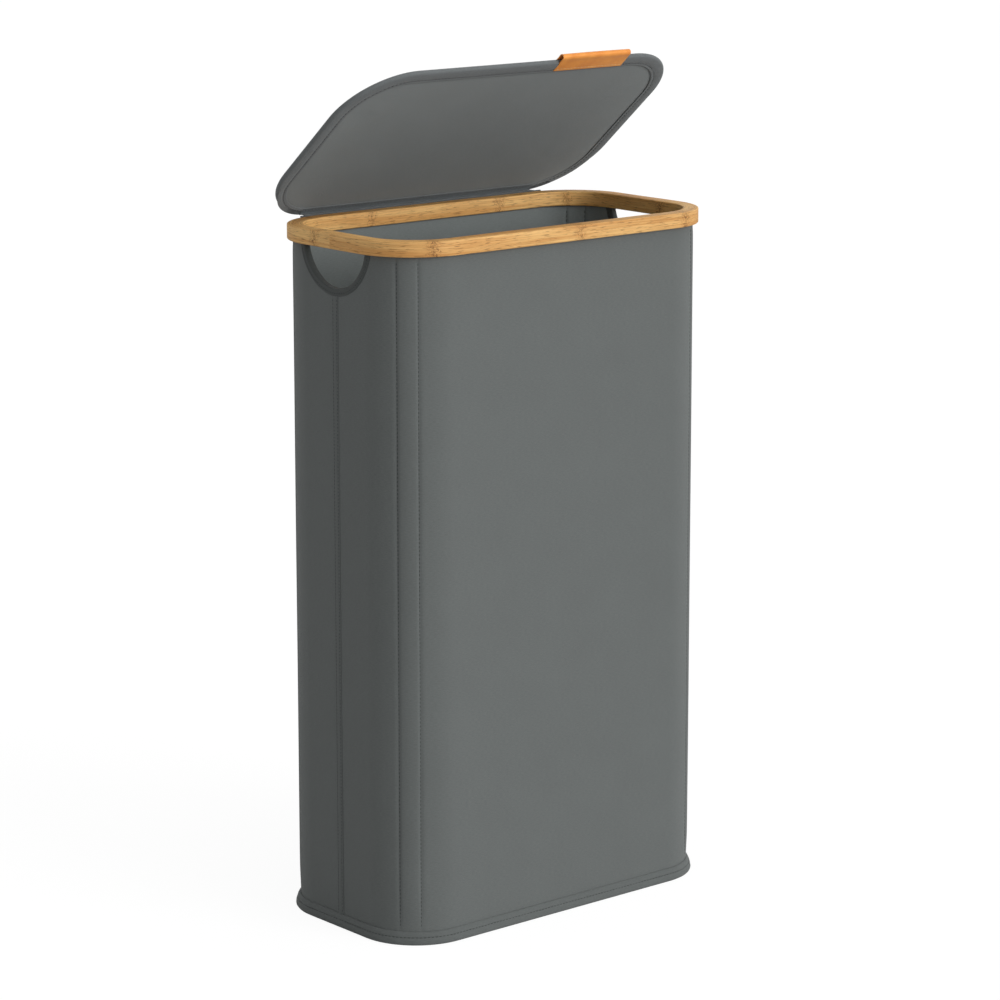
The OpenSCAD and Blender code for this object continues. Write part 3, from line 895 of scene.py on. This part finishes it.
def flap_section(x):
    """Roll on the hinge line and the leaf that is sewn flat under the lid's back edge."""
    soft = 0.02 * math.sin(x * 0.5)
    roll = [(ROLL_R * math.cos(a), ROLL_R * math.sin(a))
            for a in np.radians(np.linspace(-22, -340, 17))]
    over_edge = LID_EDGE_R + 0.02
    edge = [(4 + over_edge * math.cos(a), LID_EDGE_R + over_edge * math.sin(a))
            for a in np.radians([207, 220, 235, 252, 268])]
    lower = [(8.2, -0.03), (8.1, -0.15), (7.0, -0.19 + soft), (5.6, -0.15), (4.0, -0.2),
             (2.6, -0.21), (1.75, -0.23)]
    upper = edge + [(5.5, -0.02), (7.0, -0.02)]
    return np.array(lower + roll + upper)


xs = np.linspace(-FLAP_HALF_W, FLAP_HALF_W, 145)
hinge_cloth = along_x("hinge_cloth", flap_section, xs, lid_point, FLAP, "lid")
x_row = np.linspace(-142.5, 142.5, 200)
flap_row = (lid_point(x_row, 5.6, -0.15), np.tile(down, (200, 1)))
flap_stitches = stitches("hinge_cloth_stitches", [flap_row], BLACK_THREAD, "lid", pitch=4.0,
                         length=2.9, radius=0.26, lift=-0.2)
x_row = np.linspace(-143, 143, 200)
strip_rows = [(upright_place(x_row, 110.0, z), np.tile([0.0, 1.0, 0.0], (200, 1)))
              for z in (656.0, 663.5)]
strip_stitches = stitches("hinge_band_stitches", strip_rows, BLACK_THREAD, "hamper", pitch=4.0,
                          length=2.9)


# ---------------------------------------------------------------- pull tab

# fold of the tab in section, from the upper leaf's end round to the lower leaf's end
tab_line = [(213.0, 5.0), (217.0, 5.0), (221.0, 4.98), (224.5, 4.9), (226.5, 4.75), (228.5, 4.8),
            (230.4, 4.98), (231.8, 4.85), (232.8, 4.25), (233.4, 3.4), (233.5, 2.5), (233.4, 1.6),
            (232.8, 0.75), (231.8, 0.15), (230.4, 0.02), (228.5, 0.2), (226.5, 0.25), (224.5, 0.1),
            (221.0, 0.02), (217.0, 0.0), (213.0, 0.0)]


def tab_section(x):
    line = np.array(tab_line)
    tip = np.clip((line[:, 0] - 228) / 5, 0, 1)
    line[:, 0] += tip * 0.35 * math.sin((x - TAB_LEFT) / (TAB_RIGHT - TAB_LEFT) * math.pi)
    way = np.gradient(line, axis=0)
    normal = np.stack([way[:, 1], -way[:, 0]], 1)
    normal /= -np.linalg.norm(normal, axis=1)[:, None]
    outer, inner = line + 0.5 * normal, line - 0.5 * normal
    return np.concatenate([outer, inner[::-1]])


xs = np.concatenate([[TAB_LEFT, TAB_LEFT + 0.3], np.linspace(TAB_LEFT + 2, TAB_RIGHT - 2, 42),
                     [TAB_RIGHT - 0.3, TAB_RIGHT]])
leather_tab = along_x("leather_tab", tab_section, xs, lid_point, TAN, "lid")
x_row = np.linspace(TAB_LEFT + 1.5, TAB_RIGHT - 1.5, 90)
up = -down
tab_rows = [(lid_point(x_row, 215.6, -0.5), np.tile(down, (90, 1))),
            (lid_point(x_row, 215.6, 5.5), np.tile(up, (90, 1)))]
tab_stitches = stitches("leather_tab_stitches", tab_rows, CREAM_THREAD, "lid", pitch=4.3, length=3.2,
                        radius=0.34, lift=-0.26)


# ---------------------------------------------------------------- replaced CAD nodes hidden, boards and rods given materials

for piece, node, slot in (
    (cloth_front, "outer_fabric_front", "fabric"),
    (cloth_rear, "outer_fabric_rear", "fabric"),
    (inside_front, "lining_front", "lining"),
    (inside_rear, "lining_rear", "lining"),
    (left_seam, "left_seam", "fabric"),
    (right_seam, "right_seam", "fabric"),
    (left_tape, "left_hole_binding", "binding"),
    (right_tape, "right_hole_binding", "binding"),
    (bamboo_ring, "bamboo_rim", "bamboo"),
    (foot_band, "base_band", "fabric"),
    (under_cloth, "base_fabric", "fabric"),
    (floor_lining, "base_lining", "lining"),
    (lid_cloth, "lid_cover", "fabric"),
    (lid_panel, "lid_lining", "lining"),
    (hinge_band, "hinge_strip", "fabric"),
    (hinge_cloth, "hinge_flap", "fabric"),
    (leather_tab, "pull_tab", "tab"),
):
    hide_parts(node)

for node, material in (
    ("front_board", BOARD), ("rear_board", BOARD), ("left_front_board", BOARD),
    ("left_rear_board", BOARD), ("right_front_board", BOARD), ("right_rear_board", BOARD),
    ("base_board", BOARD), ("lid_board", BOARD), ("rod_front_left", STEEL),
    ("rod_front_right", STEEL), ("rod_rear_left", STEEL), ("rod_rear_right", STEEL),
):
    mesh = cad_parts[node].data
    mesh.materials.clear()
    mesh.materials.append(material)


# ---------------------------------------------------------------- stage, light and camera

floor_mesh = bpy.data.meshes.new("floor")
FLOOR = 30.0
floor_mesh.from_pydata([(-FLOOR, -FLOOR, 0), (FLOOR, -FLOOR, 0), (FLOOR, FLOOR, 0), (-FLOOR, FLOOR, 0)],
                       [], [(0, 1, 2, 3)])
floor = bpy.data.objects.new("floor", floor_mesh)
floor.location.z = -0.0002
bpy.context.scene.collection.objects.link(floor)
n = Nodes("pale floor")
seen = n.add("ShaderNodeLightPath").outputs["Is Camera Ray"]
diffuse = n.add("ShaderNodeBsdfDiffuse", {"Color": (0.62, 0.62, 0.62, 1)}).outputs[0]
glow = n.add("ShaderNodeEmission", {"Color": (1, 1, 1, 1), "Strength": 1.15}).outputs[0]
mixed = n.add("ShaderNodeMixShader")
n.put(mixed.inputs[0], n.math("MULTIPLY", seen, 0.8))
n.put(mixed.inputs[1], diffuse)
n.put(mixed.inputs[2], glow)
out = n.add("ShaderNodeOutputMaterial")
n.tree.links.new(mixed.outputs[0], out.inputs[0])
floor_mesh.materials.append(n.material)

world = bpy.data.worlds.new("studio")
bpy.context.scene.world = world
world.use_nodes = True
tree = world.node_tree
tree.nodes.clear()
path = tree.nodes.new("ShaderNodeLightPath")
camera_or_glossy = tree.nodes.new("ShaderNodeMath")
camera_or_glossy.operation = "MAXIMUM"
tree.links.new(path.outputs["Is Camera Ray"], camera_or_glossy.inputs[0])
tree.links.new(path.outputs["Is Glossy Ray"], camera_or_glossy.inputs[1])
seen_directly = tree.nodes.new("ShaderNodeMath")
seen_directly.operation = "MAXIMUM"
tree.links.new(camera_or_glossy.outputs[0], seen_directly.inputs[0])
tree.links.new(path.outputs["Is Transmission Ray"], seen_directly.inputs[1])
level = tree.nodes.new("ShaderNodeMapRange")
AMBIENT = 0.46
level.inputs["To Min"].default_value = AMBIENT
level.inputs["To Max"].default_value = 1.0
tree.links.new(seen_directly.outputs[0], level.inputs["Value"])
background = tree.nodes.new("ShaderNodeBackground")
background.inputs["Color"].default_value = (1, 1, 1, 1)
tree.links.new(level.outputs["Result"], background.inputs["Strength"])
world_out = tree.nodes.new("ShaderNodeOutputWorld")
tree.links.new(background.outputs[0], world_out.inputs[0])


def sun(name, towards, strength, wide):
    """Soft lamp that shines from the direction towards."""
    lamp = bpy.data.lights.new(name, "SUN")
    lamp.energy = strength
    lamp.angle = math.radians(wide)
    made = bpy.data.objects.new(name, lamp)
    made.rotation_mode = "QUATERNION"
    made.rotation_quaternion = Vector(towards).to_track_quat("Z", "Y")
    bpy.context.scene.collection.objects.link(made)
    return made


sun("key", (0.30, -0.92, 0.25), 1.85, 34)
sun("top", (0.15, -0.45, 1.0), 0.55, 55)

camera_data = bpy.data.cameras.new("camera")
camera = bpy.data.objects.new("camera", camera_data)
bpy.context.scene.collection.objects.link(camera)
camera.location = (-2.1925, -2.5896, 1.1272)
YAW, PITCH = 0.7066, 0.2004
look = Vector((math.sin(YAW) * math.cos(PITCH), math.cos(YAW) * math.cos(PITCH), -math.sin(PITCH)))
camera.rotation_mode = "QUATERNION"
camera.rotation_quaternion = look.to_track_quat("-Z", "Y")
camera_data.sensor_width = 36.0
camera_data.lens = 129.17
camera_data.shift_x, camera_data.shift_y = -0.0103, -0.050
camera_data.clip_start, camera_data.clip_end = 0.05, 200.0
bpy.context.scene.camera = camera

bpy.context.scene.view_settings.view_transform = "Standard"
